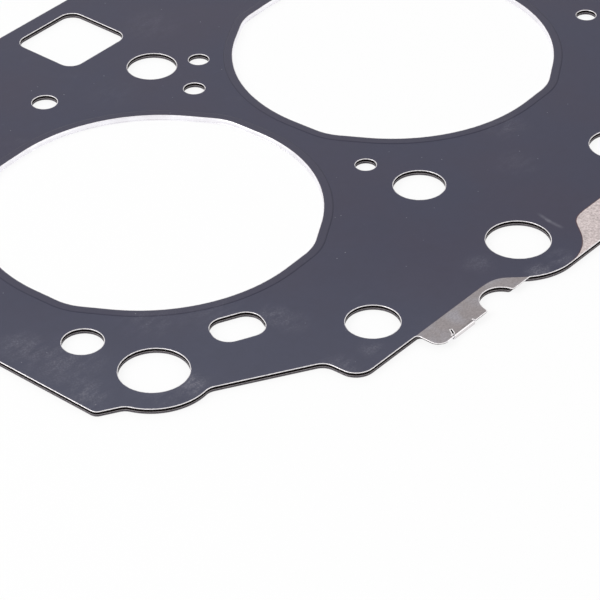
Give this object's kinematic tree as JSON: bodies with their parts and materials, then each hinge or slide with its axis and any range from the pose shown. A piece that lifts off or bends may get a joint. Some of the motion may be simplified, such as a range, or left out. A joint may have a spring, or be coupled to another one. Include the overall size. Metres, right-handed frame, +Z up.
{
  "type": "cylinder head gasket",
  "caption": "Multi-layer steel gasket for an inline engine: coated sheets clinched over a bare core, raised lands round wide bores, bolt and fluid holes, lobed front edge with bare tab.",
  "frame": {"origin": "middle of the row of cylinders, on the main underside of the bottom sheet (the face against the block)", "axes": "+X along the row of cylinders, +Y from the lobed front edge to the straight rear edge, +Z up towards the cylinder head"},
  "size_m": [0.4782, 0.2059, 0.0019],
  "materials": {
    "top_coat": "thin dark blue-grey polymer coat, satin, left off the tab and the strips, which are bare steel",
    "core_steel": "bare rolled steel, satin",
    "bottom_coat": "thin dark blue-grey polymer coat, satin, over pressed steel",
    "ring_steel": "bare steel, bright at its sheared edge"
  },
  "bodies": {
    "root": {"top_sheet": "top_coat", "core_sheet": "core_steel", "bottom_sheet": "bottom_coat", "bore_ring_1": "ring_steel", "bore_ring_2": "ring_steel", "bore_ring_3": "ring_steel", "bore_ring_4": "ring_steel"}
  },
  "joints": []
}
